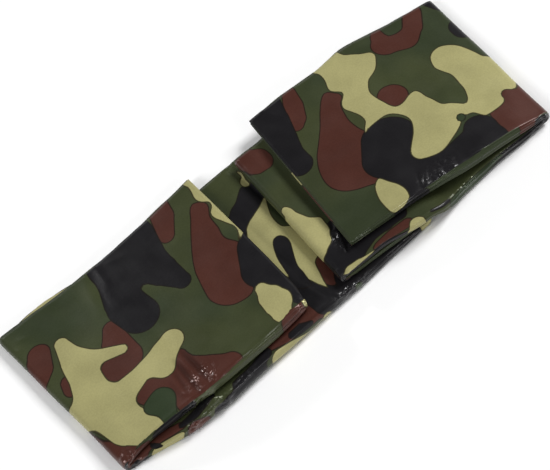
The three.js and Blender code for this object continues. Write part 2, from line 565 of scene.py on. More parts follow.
@dataclass(frozen=True)
class FilmForm:
    """The film's form over the strip's course: leaves, near roll, creases and crushed patches.

    edge_reach and end_reach say how far the moves of the free edges and ends spread into the
    film. heading_span is the number of sections that give an end's direction. The three values
    that begin with fine say which creases and patches get the finest mesh, and furrow_reach
    and furrow_height which troughs get painted shade: their colour is darkened there.
    """

    leaf: float = LEAF
    roll: float = ROLL
    creases: tuple[Crease, ...] = ()
    crumples: tuple[Crumple, ...] = ()
    nudges: tuple[Nudge, ...] = NUDGES
    groove_width: float = 0.3
    edge_wave: float = 0.35
    edge_reach: float = 18.0
    end_reach: float = 22.0
    heading_span: int = 6
    ripple: float = 0.10
    fine_reach: float = 3.0
    fine_lift: float = 0.1
    fine_crush: float = 0.1
    furrow_reach: float = 2.4
    furrow_height: float = 0.8

    @property
    def width(self) -> float:
        """The flat width of the film round the strip."""
        return 2 * self.leaf + self.roll

    def points(self, strip: Sections, across: np.ndarray, layer: Layer) -> np.ndarray:
        """The smooth film's points, before its creases.

        Args:
            strip: The strip's sections.
            across: The film's t at each line of points.
            layer: How deep inside the fold the film lies, and how its edges are set back.

        Returns:
            An array of sections by lines by coordinates.
        """
        line = strip.near - strip.far
        nearward = line / np.linalg.norm(line, axis=1, keepdims=True)
        form = np.array([list(vars(row).values()) for row in ROLL_ROWS])
        bulge, square, groove, groove_at = (
            np.interp(strip.along, form[:, 0], column)[:, None] for column in form[:, 1:].T
        )
        share = np.where(across < self.leaf, across, self.width - across) / self.leaf
        share = np.minimum(share, 1.0)[None, :]
        thick = strip.far_thick[:, None] * (1 - share) + strip.near_thick[:, None] * share
        half = thick / 2 * (1 - layer.depth)
        angle = np.pi * np.clip((across - self.leaf) / self.roll, 0.0, 1.0)[None, :]
        out = np.sin(angle) ** (2 / square)
        level = np.sign(np.cos(angle)) * np.abs(np.cos(angle)) ** (2 / square)
        groove_near = np.exp(-(((level - groove_at) / self.groove_width) ** 2))
        draw_in = groove * groove_near * np.sin(angle)
        push = 2 * half * (bulge * out - draw_in) + self.edge_pull(strip.along, share, layer)
        return (
            sum(nudge.push(strip.along, across) for nudge in self.nudges)
            + strip.far[:, None, :]
            + line[:, None, :] * share[..., None]
            + nearward[:, None, :] * push[..., None]
            + strip.facing[:, None, :] * (half * level)[..., None]
            + self.end_push(strip, across, layer)
        )

    def edge_pull(self, along: np.ndarray, share: np.ndarray, layer: Layer) -> np.ndarray:
        """How far the film's far edges are drawn in towards the near side.

        Args:
            along: The s of each section.
            share: Each line's place from the far side to the near side.
            layer: The film's layer.

        Returns:
            The move for each section and line.
        """
        pull = read_off(FAR_PULL_ROWS, along) + layer.edge_trim
        wave = sum(
            np.sin(along / length + start + layer.depth * shift)
            for length, shift, start in EDGE_WAVES
        )
        fade = ease(1 - share * self.leaf / self.edge_reach)
        return (pull + self.edge_wave * wave / len(EDGE_WAVES))[:, None] * fade

    def end_push(self, strip: Sections, across: np.ndarray, layer: Layer) -> np.ndarray:
        """How far the film's two free ends reach beyond the strip's straight ends.

        Args:
            strip: The strip's sections.
            across: The film's t at each line.
            layer: The film's layer.

        Returns:
            The move for each section, line and coordinate.
        """
        flap_end = read_off(FLAP_END_ROWS, across) - layer.end_trim
        other_end = np.full(len(across), -layer.end_trim)
        total = np.zeros((len(strip.along), len(across), 3))
        for end, inner, amount in (
            (0, self.heading_span, flap_end),
            (-1, -1 - self.heading_span, other_end),
        ):
            heading = strip.far[end] - strip.far[inner] + strip.near[end] - strip.near[inner]
            heading /= np.linalg.norm(heading)
            fade = ease(1 - np.abs(strip.along - strip.along[end]) / self.end_reach)
            total += (fade[:, None] * amount[None, :])[..., None] * heading
        return total

    def lift(self, along: np.ndarray, across: np.ndarray) -> np.ndarray:
        """The move of the film by its ripples, creases and crushed patches.

        Args:
            along: The film's s.
            across: The film's t.

        Returns:
            The move outward at each place.
        """
        total = self.ripple * sum(
            np.sin(along / length + across / depth + start) for length, depth, start in RIPPLES
        )
        for mark in (*self.creases, *self.crumples):
            total = total + mark.lift(along, across)
        return total

    def shows(self, along: np.ndarray, across: np.ndarray) -> np.ndarray:
        """Whether each place of the film can be seen when the bag lies on the floor.

        Args:
            along: The film's s.
            across: The film's t.

        Returns:
            True where it can be seen.
        """
        outer = (across < LEAF) & within(along, SEEN_OUTER_LEAF)
        other = (across >= ROLL_END) & within(along, SEEN_OTHER_LEAF)
        return outer | other | within(across, SEEN_ROUND_ROLL)

    def detailed(self, along: np.ndarray, across: np.ndarray) -> np.ndarray:
        """Whether each place lies in a crushed patch or on a narrow crease.

        Args:
            along: The film's s.
            across: The film's t.

        Returns:
            True where the finest mesh is wanted.
        """
        fine = self.crush(along, across) > self.fine_crush
        for mark in self.creases:
            if mark.reach < self.fine_reach and not mark.lengthwise:
                fine |= np.abs(mark.lift(along, across)) > self.fine_lift
        return fine

    def crush(self, along: np.ndarray, across: np.ndarray) -> np.ndarray:
        """How crushed the film is at each place, from 0 to 1."""
        strengths = [patch.strength(along, across) for patch in self.crumples]
        return np.max([np.zeros_like(along), *strengths], axis=0)

    def furrow(self, along: np.ndarray, across: np.ndarray) -> np.ndarray:
        """How much painted shade each place of the film gets for lying in a narrow trough.

        Args:
            along: The film's s.
            across: The film's t.

        Returns:
            The depth of that painted shade at each place, from 0 to 1.
        """
        depths = [
            min(crease.height / self.furrow_height, 1.0) * crease.nearness(along, across)
            for crease in self.creases
            if crease.form is CreaseForm.TROUGH and crease.reach < self.furrow_reach
        ]
        return np.max([np.zeros_like(along), *depths], axis=0)


class Ink(Enum):
    """The print's inks in the order in which they lie on the green ground."""

    BROWN = "brown"
    BLACK = "black"
    TAN = "tan"
    LEAF_GREEN = "leaf_green"
    TOP_BLACK = "top_black"


@dataclass(frozen=True)
class Blob:
    """A rounded patch of one ink: a chain of circles, each given by its s, t and radius."""

    ink: Ink
    circles: tuple[Triple, ...]

    def depth(self, along: np.ndarray, across: np.ndarray) -> np.ndarray:
        """How far inside the patch each place is, below 0 outside it.

        Args:
            along: The print's s.
            across: The print's t.

        Returns:
            The distance to the patch's outline.
        """
        best = np.full(along.shape, -np.inf)
        for first, last in zip(self.circles[:-1], self.circles[1:]):
            held, away = beside_line(along, across, first[:2], last[:2])
            best = np.maximum(best, first[2] + (last[2] - first[2]) * held - away)
        return best


@dataclass(frozen=True)
class Outline:
    """A patch of one ink given by the s and t of places that its smooth outline runs through."""

    ink: Ink
    places: tuple[Pair, ...]
    steps: int = 3

    def curve(self) -> np.ndarray:
        """The outline as a closed row of points.

        Returns:
            The s and t of its points, steps of them from each place to the next.
        """
        here = np.array(self.places)
        before, after, beyond = (np.roll(here, shift, axis=0) for shift in (1, -1, -2))
        rows = [
            here + (after - before) * part / 2
            + (2 * before - 5 * here + 4 * after - beyond) * part**2 / 2
            + (3 * here - before - 3 * after + beyond) * part**3 / 2
            for part in np.arange(self.steps) / self.steps
        ]
        return np.stack(rows, axis=1).reshape(-1, 2)

    def depth(self, along: np.ndarray, across: np.ndarray) -> np.ndarray:
        """How far inside the patch each place is, below 0 outside it.

        Args:
            along: The print's s.
            across: The print's t.

        Returns:
            The distance to the patch's outline.
        """
        curve = self.curve()
        nearest = np.full(along.shape, np.inf)
        inside = np.zeros(along.shape, dtype=bool)
        for first, last in zip(curve, np.roll(curve, -1, axis=0)):
            nearest = np.minimum(nearest, beside_line(along, across, first, last)[1])
            line = last - first
            if line[1] != 0:
                passed = (first[1] > across) != (last[1] > across)
                inside ^= passed & (along < first[0] + (across - first[1]) / line[1] * line[0])
        return np.where(inside, nearest, -nearest)


def blended(first: np.ndarray, second: np.ndarray, reach: float) -> np.ndarray:
    """The larger of two depths, with the inner corners between them rounded off."""
    near = np.clip(1 - np.abs(first - second) / reach, 0.0, None)
    return np.maximum(first, second) + near * near * reach / 4


BROWN, BLACK, TAN = Ink.BROWN, Ink.BLACK, Ink.TAN
LEAF_GREEN, TOP_BLACK = Ink.LEAF_GREEN, Ink.TOP_BLACK

# The flap's outer leaf, which also serves for hidden stretches.
FLAP_PRINT = (
    Blob(BROWN, ((21, -6, 6.5), (24.5, 8, 7.3), (30.5, 20, 5.2))),
    Outline(BROWN, (
        (8.6, 15.6), (5.5, 17.2), (3, 20.5), (2.7, 24), (4.2, 27), (6.3, 31), (7, 36.7),
        (7.5, 42.1), (8.8, 47.1), (8.7, 51.4), (7.1, 55.4), (5.5, 60), (6, 70), (11, 82), (15, 87),
        (19, 91.8), (25, 92.4), (33, 89.8), (38.3, 84), (40.3, 77), (39.2, 71), (37.8, 65.8),
        (36.2, 60.3), (34.6, 55.3), (31.6, 49.2), (27.4, 42.3), (22.9, 35.8), (18.6, 29.6),
        (14.3, 23.4), (11.5, 18.5),
    )),
    Blob(BROWN, ((92, 46, 6), (96, 56, 9), (98, 68, 11), (107, 70, 9))),
    Blob(BROWN, ((75, 92, 4.5), (77, 102, 8.5), (73, 114, 12), (82, 120, 14))),
    Blob(BROWN, ((73, 114, 12), (58, 119, 7.5))),
    Blob(BROWN, ((84, 108, 9), (101, 97, 9))),
    Blob(BROWN, ((131.5, 26.5, 6.6), (137, 36, 7.5), (144, 42, 6))),
    Blob(BROWN, ((131, 55, 4.5), (132.5, 60, 4.8))),
    Blob(BROWN, ((147, 88, 6), (148, 102, 9), (143, 114, 8.5), (132, 122, 7))),
    Blob(BLACK, ((66, 6, 13), (58, 12, 20), (52, 20, 16), (47.5, 37, 10), (43, 53, 5.3))),
    Blob(BLACK, ((52, 4, 20), (66, 2, 13))),
    Blob(BLACK, ((66, 14, 14), (76, 34, 11.5), (76.5, 40, 12.5), (75, 51, 12.3))),
    Blob(BLACK, ((-4, 72, 16), (5, 84, 13.5), (-1, 100, 13), (-6, 110, 14))),
    Blob(TAN, ((15, 94, 3.6), (14.5, 103, 7.6), (14, 109, 9), (16.5, 116, 6.5))),
    Blob(TAN, ((119, 31, 4.4), (120, 46, 8.2), (122, 60, 9.7), (127, 77, 12.5))),
    Blob(TAN, ((95.5, 62, 3.3), (106, 56.2, 4.8), (117, 51, 8.5))),
    Blob(TAN, ((72, 80, 7.6), (84, 83.4, 7.2), (98, 84, 6), (117, 87, 9.5))),
    Blob(TAN, ((80, 84, 6), (86, 91, 7))),
    Blob(TAN, ((126, 82, 12), (125, 94, 13.8), (124, 102, 13.8), (116, 117, 10))),
    Blob(TAN, ((126, 84, 12), (136, 78, 9.5), (146, 76, 8))),
    Outline(TAN, (
        (-9, -7), (4.2, -6), (4.2, 0.9), (3.4, 4), (3.8, 8), (5, 12.4), (5.2, 15), (4.6, 17.7),
        (3, 20.2), (1.4, 22), (1, 24.4), (2.2, 26.8), (4.4, 28.8), (5.4, 31.4), (5.1, 35),
        (3.7, 39.4), (2.4, 43.7), (1.2, 46.8), (0.9, 49.6), (1.5, 53), (3.2, 55.8), (5.3, 58.8),
        (3, 58), (-1, 56), (-9, 52),
    )),
    Blob(LEAF_GREEN, ((99, 107, 7), (106, 106.5, 4.5))),
    Blob(LEAF_GREEN, ((100, 108, 6.6), (102.2, 120, 4.6))),
)

# The right panel's outer leaf, which also serves for hidden stretches.
RIGHT_PRINT = (
    Blob(BROWN, ((689, 1, 4.5), (693.5, 12, 6.6), (698.5, 22, 6.6), (701, 26, 4.8))),
    Outline(BROWN, (
        (677.5, 20.5), (674.7, 18.4), (671.8, 18.9), (669.5, 22.2), (667.6, 25.3), (668, 29.1),
        (671.4, 31.8), (673.6, 36.3), (675.3, 42.3), (676.2, 46.8), (676.2, 52.1), (675.5, 57.4),
        (674, 63), (674, 72), (678, 84), (684, 92), (688, 96.5), (692.5, 97.6), (697, 95.5),
        (703, 92.5), (708.5, 88), (712, 82), (713.2, 76), (712.6, 69.5), (710.5, 62.5),
        (707.1, 56.1), (704.5, 52.7), (698, 45.6), (691.6, 38.3), (685.9, 30.4), (680.6, 23.7),
    )),
    Blob(BROWN, ((646.2, 51.6, 9.2), (645.6, 51.7, 9.1))),
    Blob(BROWN, ((619.5, -1, 2.6), (621.8, 6, 4.6), (623, 14.5, 8.4), (612, 18.6, 5.8))),
    Blob(BROWN, ((612, 18.6, 5.8), (603.5, 13, 5.4), (598, 3, 5), (596, -4, 5))),
    Blob(BROWN, ((590, 98, 10.5), (600.5, 106, 15.2), (601.6, 118, 15.2), (588, 118, 12))),
    Blob(BLACK, ((714, -4, 19), (715, 12, 15), (718, 28, 13), (719, 42, 10), (717, 51.5, 8.2))),
    Blob(BLACK, ((668, 76.5, 17), (677, 87, 15.5), (672, 103, 14), (668, 113, 14))),
    Blob(BLACK, ((668, 111, 13), (648, 118, 13), (630, 115, 14), (625, 105.5, 9.5))),
    Blob(BLACK, ((640, 122, 13), (690, 125, 8))),
    Blob(BLACK, ((582, 30, 8), (582, 33, 8))),
    Blob(BLACK, ((588, -1, 2.4), (583, 8, 4))),
    Outline(TAN, (
        (690, 95.6), (687.6, 101.4), (685, 107.2), (684.1, 113), (685.2, 117.8), (687.3, 120.8),
        (690.1, 123.4), (693.8, 124.7), (697.6, 124), (699, 121.2), (699.4, 117), (699, 109.4),
        (697.4, 103.3), (695.4, 99.1), (693, 96.6),
    )),
    Outline(TAN, (
        (668, -9), (668.6, -3), (669, 0.6), (667.4, 2.6), (666.8, 4.8), (667, 8.7), (668.2, 12.4),
        (670, 16.7), (669.9, 20), (667.8, 22.8), (665.9, 25.2), (666.4, 27.9), (670.1, 31.3),
        (672, 33.7), (673, 37.6), (671.5, 41.9), (669.9, 46.2), (669.2, 49.5), (669.2, 52.8),
        (670.3, 55.6), (673, 58.4), (675.6, 62.2), (673.1, 61.2), (669.3, 60.2), (664.1, 59.8),
        (658.7, 60), (654.6, 62.4), (651.8, 66.3), (650.2, 70.3), (650.3, 74.6), (652.2, 78.6),
        (655.5, 83), (658.8, 86.2), (661.8, 89.1), (665.1, 92.7), (666.3, 95.5), (666.2, 98.1),
        (664.9, 101), (661.6, 102.9), (658, 104.3), (654.2, 105.1), (650.3, 104.9), (645.8, 103.4),
        (640.6, 101), (636, 98.8), (633.2, 97), (630.9, 95.8), (630.2, 93.8), (629.1, 90.5),
        (627.7, 88.8), (626.2, 90), (625.5, 91.9), (623.8, 92.8), (621.6, 93), (620, 94.9),
        (618.2, 98.6), (616.6, 100), (613.7, 100.1), (610.1, 99.8), (605.7, 99.1), (600.8, 97.4),
        (598.9, 95.1), (598.3, 92), (596.4, 89.8), (593.2, 89.2), (590.1, 91.3), (587.2, 92.4),
        (586, 90.1), (584.5, 87.5), (579, 86), (577, 75), (578, 64), (585, 61.5), (587.3, 58.5),
        (588.6, 54.1), (590.3, 49), (592.5, 43.5), (595, 40), (598.3, 37.4), (602, 36),
        (605.7, 36.7), (608.4, 38.2), (610.8, 40.7), (612.6, 44.6), (613.8, 49), (613.1, 52.2),
        (611.9, 55.7), (610.4, 59.6), (610.6, 64.3), (611.5, 69.6), (612.2, 74.2), (614.1, 78.9),
        (616.1, 82.4), (618.1, 84.2), (619.9, 84.4), (622.3, 81.8), (625.6, 78.5), (628, 77.2),
        (629.7, 74.8), (630.7, 69.4), (631.9, 65.1), (632.2, 60.3), (633.4, 57.5), (636, 56.9),
        (639.9, 58), (642.5, 59.3), (646.1, 60.2), (649.6, 59.3), (651.5, 55.8), (652.4, 51.3),
        (653.4, 46.4), (653.8, 41.2), (653, 37.6), (650.1, 33.6), (647.4, 31.1), (642.5, 29.2),
        (638.5, 26.5), (634.5, 21.4), (632.2, 17.4), (632.6, 14.3), (634.9, 12.6), (638.3, 11.1),
        (642, 8), (645.6, 5.3), (647.2, 1.7), (648, -3), (649, -9),
    )),
    Blob(LEAF_GREEN, ((628.5, 92.4, 2.5), (628, 91.5, 2.4))),
)

# What shows between and beside the two blocks: the other leaf's middle and the near roll, with one
# band of painted shadow under a fold.
SEEN_PRINT_AND_SHADOW = (
    Outline(BROWN, (
        (304.1, 160.8), (306.3, 162.2), (309, 160), (309.4, 151), (307.6, 144), (303.5, 140),
        (299, 138), (295.6, 139), (298.2, 146.5), (300.4, 152), (302.4, 157),
    )),
    Outline(BLACK, (
        (311, 233.3), (307.2, 234.3), (304.4, 232.6), (298.3, 227.9), (292.9, 226), (289, 222.8),
        (284, 219), (282, 208), (286, 200), (291, 204), (295.3, 208), (300, 209), (305, 211),
        (309.5, 214), (313, 219.4), (317, 221), (318, 232),
    )),
    Blob(BLACK, ((284, 158, 4), (289, 145, 7.5), (292, 134, 9.5), (300, 126, 9))),
    Blob(BLACK, ((317, 148, 8), (312, 138, 9), (325, 140, 12))),
    Outline(TAN, (
        (312.2, 219.4), (308.7, 216.8), (304.7, 214.4), (300, 212.5), (295.3, 211.1),
        (291.1, 208.6), (288.8, 205.3), (286, 200), (284.5, 185), (284.5, 170), (286.6, 160),
        (290, 157), (293.2, 152.5), (294.9, 146.2), (297.3, 140.3), (298.9, 145.9), (300.9, 151.6),
        (302.6, 156.9), (304.1, 160.3), (306.3, 161.6), (310, 164), (313, 175), (314, 186),
        (310.5, 191), (306.9, 193.6), (306.1, 197.8), (306.5, 202.7), (307.8, 207.3),
        (310.3, 212.7), (312.3, 217),
    )),
    Outline(TAN, (
        (313.3, 245.6), (314.3, 242.2), (312.9, 237.4), (312.8, 233.1), (309.9, 232.6),
        (308.4, 234.2), (308.6, 237.3), (310.7, 239.8), (312.2, 240.6), (312.4, 242.7),
        (312.4, 245),
    )),
    Outline(TOP_BLACK, (
        (301.5, 188.7), (302.9, 185.5), (302.4, 181.1), (299.6, 175.4), (296.8, 169.7),
        (294.8, 164.4), (294.3, 159), (293.2, 153), (292, 148), (286, 150), (283, 158),
        (286.6, 161.5), (287.4, 164.9), (288.6, 170.5), (290.2, 177.4), (292.4, 183),
        (294.6, 187.4), (296.8, 189.7), (298.9, 190.2),
    )),
    Outline(BROWN, (
        (421, 255), (423, 246), (424.9, 239.2), (426, 232.9), (429.7, 229.5), (434, 228.9),
        (439.5, 229), (443.1, 231.8), (444.4, 235.7), (444, 242.8), (441.8, 247.5), (437.8, 250.4),
        (434, 255),
    )),
    Outline(TAN, (
        (424.2, 192), (424.6, 196.5), (426.3, 198.2), (428.3, 196.4), (429.7, 193.2),
        (430.1, 189.5), (431.8, 185.2), (433.2, 181.6), (435.2, 179.1), (437.6, 177.2),
        (438.9, 175.8), (438.6, 172.3), (438.3, 168.2), (437.6, 164.6), (435.6, 161.7),
        (433.9, 157.2), (429, 154.1), (425.7, 151.4), (422, 151), (418, 160), (417, 180),
        (420, 190),
    )),
    Blob(BLACK, ((441.5, 163, 6.5), (449, 161, 8))),
    Blob(BLACK, (
        (425, 138, 14), (436, 146, 12), (448, 150, 12), (460, 147, 8.5), (470, 144.5, 5),
    )),
    Blob(BROWN, ((449, 133.2, 2.4), (460, 134.4, 3.3), (470, 135.4, 3.2))),
    Blob(BLACK, ((484, 132.8, 1.2), (496, 132, 1.3))),
    Blob(TAN, ((158, 252, 5), (190, 252, 5))),
    Blob(TAN, ((178, 205, 13), (196, 190, 10), (214, 182, 12))),
    Blob(BLACK, ((236, 236, 12), (252, 214, 14), (240, 186, 10))),
    Blob(BROWN, ((160, 232, 8), (166, 190, 12), (188, 160, 9))),
    Blob(BROWN, ((-4, 125, 12), (11, 127, 11.5))),
    Blob(TAN, ((1, 117, 2.2), (0.5, 125, 2))),
    Blob(BLACK, ((90, 124.5, 3.6), (97, 123.4, 4.8), (106, 123.4, 5), (113, 126, 4))),
    Blob(BROWN, ((122, 126, 2.6), (130, 124, 4), (138, 122, 8), (148, 128, 8), (158, 137, 5))),
    Blob(BROWN, ((158, 137, 4.2), (170, 136, 3.4), (182, 134.6, 2.4))),
    Blob(BLACK, ((149, 120, 5), (154, 123, 4))),
    Blob(TOP_BLACK, ((141, 121.5, 2.2), (144.5, 124.5, 3), (149, 129, 2.4))),
    Outline(TAN, (
        (160.6, 128), (164.6, 131.4), (172, 131.8), (179.4, 131.3), (181.6, 129), (180, 125),
        (176, 119), (166, 118), (160, 122),
    )),
    Blob(TOP_BLACK, ((167.6, 129, 0.9), (165.6, 131.6, 2.3), (164, 134.4, 1.6))),
    Blob(BROWN, ((186, 122, 4.6), (188, 127, 4.8), (193, 125.4, 4))),
    # Painted shadow: a black band where the fold above casts shade onto the near roll.
    Blob(BLACK, ((182.4, 134.6, 1.5), (192, 134.4, 2.2), (206, 136, 1.8))),
    Blob(BLACK, ((203, 125, 3), (214, 126.6, 3.6), (226, 126, 3.6), (238, 126.4, 3.4))),
    Blob(BLACK, ((222, 131.4, 2.4), (236, 130.6, 3.2), (246, 133, 2.6))),
    Blob(BROWN, ((250, 137, 5), (262, 134, 5), (276, 133, 6), (285, 133, 6), (289, 126, 5))),
    Blob(BLACK, ((263, 131.4, 1.8), (270, 130.4, 3), (276, 129, 1.6))),
    Blob(TAN, ((251, 124.5, 6.2), (258, 122.5, 7), (266, 120, 7), (278, 116, 7))),
    Blob(TAN, ((286, 121, 4.4), (286.5, 123.5, 3.6))),
    Blob(BLACK, ((301, 124, 10.5), (330, 124, 14), (356, 124, 14))),
    Blob(LEAF_GREEN, ((312, 122, 2.6), (312, 128, 2.4))),
    Blob(TAN, ((364, 133, 5.6), (364, 124, 5.6))),
    Blob(BROWN, ((421, 128, 5), (423.5, 133, 3.6))),
    Blob(BLACK, ((436, 120, 10.5), (452, 120, 11), (462, 117, 10))),
    Blob(BLACK, ((444, 129.6, 1.6), (456, 128.6, 2.4), (466, 127, 2))),
    Blob(TAN, ((430.5, 131.4, 4.4), (436, 131.6, 3.6), (441, 131, 2.2), (446, 130.6, 0.9))),
    Blob(TAN, ((474.5, 115, 6.5), (472, 124, 6), (473.4, 131.6, 4.6))),
    Blob(BLACK, ((530, 124, 7), (575, 124, 9))),
    Blob(LEAF_GREEN, ((500, 127, 5), (540, 129, 2.6))),
    Blob(BROWN, ((600, 120, 9), (603, 127, 7))),
    Blob(BLACK, ((590, 126, 6), (584, 130, 7))),
    Blob(BLACK, ((680, 126, 6), (690, 130, 8))),
    Blob(BROWN, ((697, 133, 4), (712, 134, 5), (728, 133, 5))),
)

# How far the outer leaf's print runs down over the near roll, at a place along the strip.
SHOULDER_ROWS = (
    (0.0, 0.2), (12.0, 0.6), (22.0, 1.8), (40.0, 2.9), (56.0, 3.8), (66.0, 4.3), (84.0, 4.3),
    (96.0, 3.4), (110.0, 2.9), (122.0, 2.0), (132.0, 0.4), (584.0, 0.4), (600.0, 0.8),
    (640.0, 1.4), (668.0, 2.4), (680.0, 3.2), (685.0, 7.2), (700.0, 7.2), (705.0, 4.2),
    (724.0, 4.6),
)

# The bands and the ends of the print's charts, a little past the film's own edges.
OUTER_BAND = (-9.0, LEAF)
ROLL_BAND = (LEAF, ROLL_END)
OTHER_BAND = (ROLL_END, WIDTH + 9.0)
FLAP_END = -9.0
RIGHT_END = 735.0


@dataclass(frozen=True)
class PrintField:
    """A stretch of the film, in s and in t, that carries one chart moved to its own place.

    A turned chart is mirrored from one leaf to the other, and rounding is how far its patches
    of one ink run into each other.
    """

    chart: tuple[Blob | Outline, ...]
    along: Pair
    across: Pair
    move: Pair = (0.0, 0.0)
    turned: bool = False
    rounding: float = 6.0


@dataclass(frozen=True)
class CamouflagePrint:
    """A four-colour woodland print: rounded patches on a green ground, each with a dark rim.

    clamp is the greatest depth that is kept, and outside is the depth where no patch is near.
    """

    clamp: float = 4.0
    outside: float = -1000.0

    def fields(self) -> tuple[PrintField, ...]:
        """The film's stretches, each with the chart that it carries.

        Returns:
            Those of the outer leaf, the near roll and the other leaf, in the strip's order.
        """
        return (
            PrintField(FLAP_PRINT, (FLAP_END, 147.0), OUTER_BAND),
            PrintField(RIGHT_PRINT, (147.0, 395.0), OUTER_BAND, (-430.0, 0.0)),
            PrintField(FLAP_PRINT, (395.0, 584.0), OUTER_BAND, (440.0, 0.0)),
            PrintField(RIGHT_PRINT, (584.0, RIGHT_END), OUTER_BAND),
            PrintField(SEEN_PRINT_AND_SHADOW, (FLAP_END, RIGHT_END), ROLL_BAND, rounding=3.0),
            PrintField(RIGHT_PRINT, (FLAP_END, 145.0), OTHER_BAND, (-584.0, 0.0), True),
            PrintField(SEEN_PRINT_AND_SHADOW, (145.0, 500.0), OTHER_BAND, rounding=3.0),
            PrintField(FLAP_PRINT, (500.0, RIGHT_END), OTHER_BAND, (573.0, -20.0), True),
        )

    def depths(
        self, along: np.ndarray, across: np.ndarray, shoulder: np.ndarray
    ) -> dict[Ink, np.ndarray]:
        """How deep each place lies in each ink's patches.

        Args:
            along: The film's s.
            across: The film's t.
            shoulder: How far the outer leaf's print runs down over the roll, at each place.

        Returns:
            For each ink its depth in millimetres, below 0 outside its patches.
        """
        found = {ink: np.full(along.shape, -self.clamp) for ink in Ink}
        for part in self.fields():
            first, last = (line + (shoulder if line == LEAF else 0.0) for line in part.across)
            start, end = part.along
            inside = (along >= start) & (along < end) & (across >= first) & (across < last)
            s = along[inside] - part.move[0]
            t = (WIDTH - across[inside] if part.turned else across[inside]) - part.move[1]
            for ink in Ink:
                total = np.full(s.shape, self.outside)
                for patch in part.chart:
                    if patch.ink is ink:
                        total = blended(total, patch.depth(s, t), part.rounding)
                found[ink][inside] = np.clip(total, -self.clamp, self.clamp)
        return found


